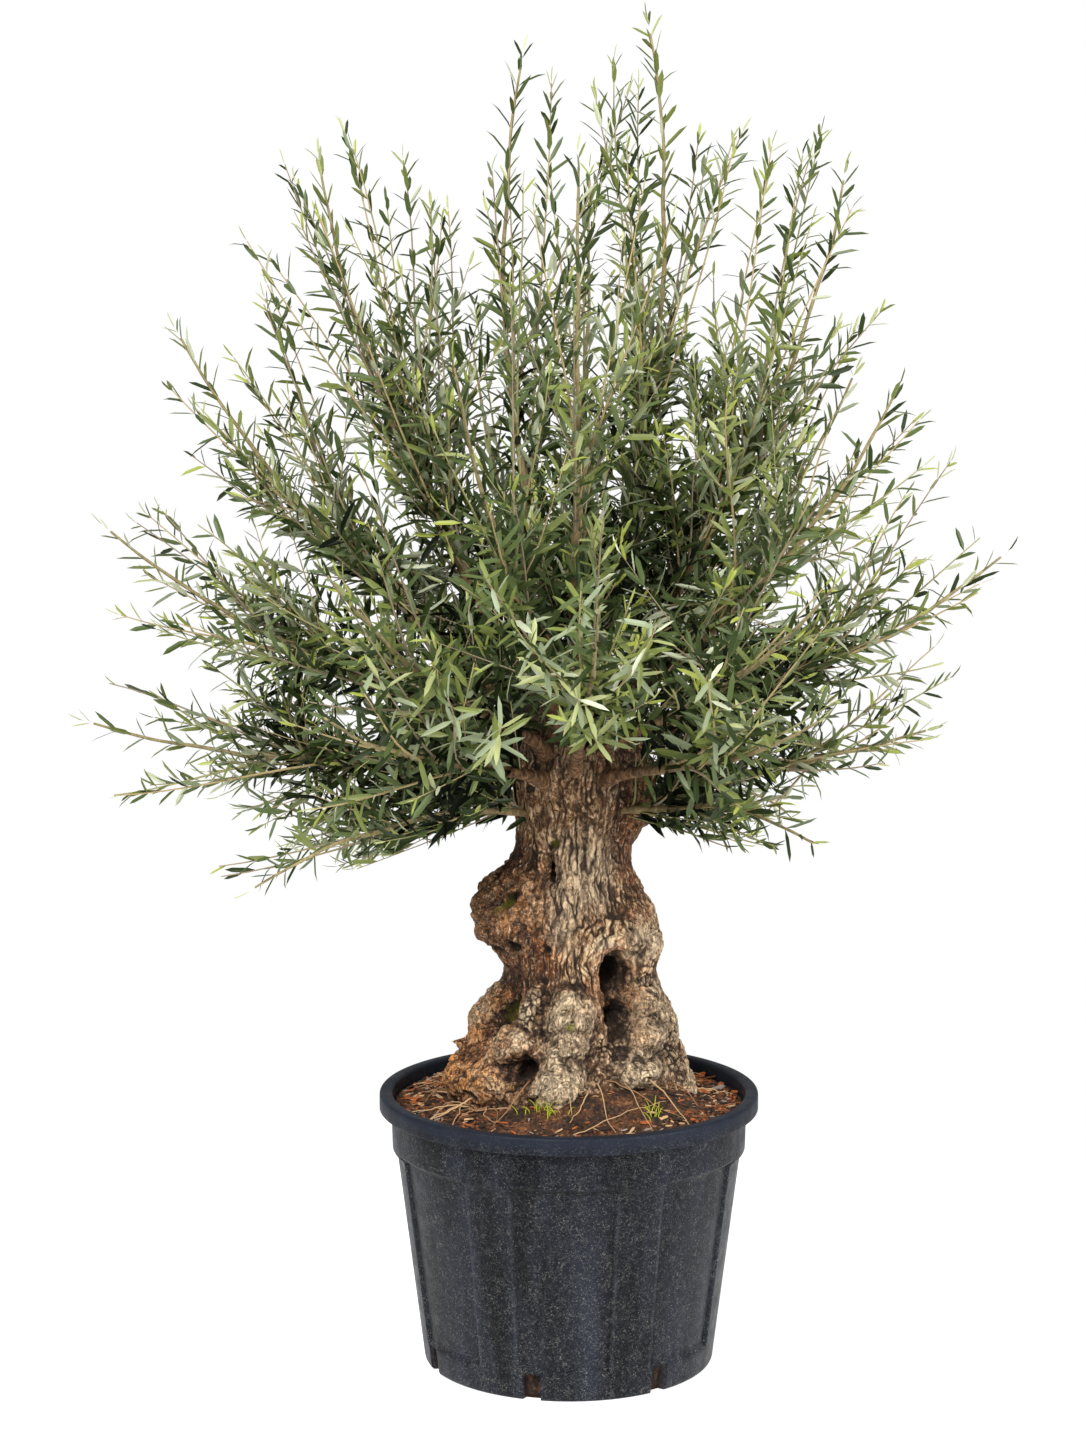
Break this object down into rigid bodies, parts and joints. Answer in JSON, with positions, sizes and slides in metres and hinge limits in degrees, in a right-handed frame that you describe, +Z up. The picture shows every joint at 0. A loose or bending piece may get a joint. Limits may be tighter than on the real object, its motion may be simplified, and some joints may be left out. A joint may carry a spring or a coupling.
{
  "type": "potted olive tree",
  "caption": "Old olive tree with a gnarled, hollowed trunk and a bushy crown of long leafy shoots, growing in a black tapered nursery pot",
  "frame": {"origin": "middle of the pot's flat underside, at ground level", "axes": "+Z up the trunk, -Y towards the tree's front, +X to the right seen from the front"},
  "size_m": [1.4355, 1.3361, 2.096],
  "materials": {
    "pot": "matt black moulded plastic, dusty and scuffed",
    "soil": "dry brown compost with bark chips",
    "bark": "rough weathered grey-brown bark",
    "foliage": "grey-green leaves, silvery underneath, on thin tan twigs"
  },
  "bodies": {
    "root": {"bough_front_1": "bark", "bough_high_1": "bark", "bough_high_2": "bark", "bough_high_3": "bark", "bough_high_4": "bark", "bough_low_1": "bark", "bough_low_2": "bark", "bough_low_3": "bark", "bough_low_4": "bark", "bough_low_5": "bark", "bough_low_6": "bark", "bough_middle_1": "bark", "bough_middle_2": "bark", "bough_middle_3": "bark", "bough_middle_4": "bark", "bough_middle_5": "bark", "bough_middle_6": "bark", "bough_top_1": "bark", "bough_top_2": "bark", "bough_upper_1": "bark", "bough_upper_2": "bark", "bough_upper_3": "bark", "bough_upper_4": "bark", "bough_upper_5": "bark", "foliage_front_1": "foliage", "foliage_high_1": "foliage", "foliage_high_2": "foliage", "foliage_high_3": "foliage", "foliage_high_4": "foliage", "foliage_low_1": "foliage", "foliage_low_2": "foliage", "foliage_low_3": "foliage", "foliage_low_4": "foliage", "foliage_low_5": "foliage", "foliage_low_6": "foliage", "foliage_middle_1": "foliage", "foliage_middle_2": "foliage", "foliage_middle_3": "foliage", "foliage_middle_4": "foliage", "foliage_middle_5": "foliage", "foliage_middle_6": "foliage", "foliage_skirt_1": "foliage", "foliage_skirt_2": "foliage", "foliage_skirt_3": "foliage", "foliage_skirt_4": "foliage", "foliage_skirt_5": "foliage", "foliage_top_1": "foliage", "foliage_top_2": "foliage", "foliage_upper_1": "foliage", "foliage_upper_2": "foliage", "foliage_upper_3": "foliage", "foliage_upper_4": "foliage", "foliage_upper_5": "foliage", "pot": "pot", "soil": "soil", "trunk": "bark"}
  },
  "joints": []
}
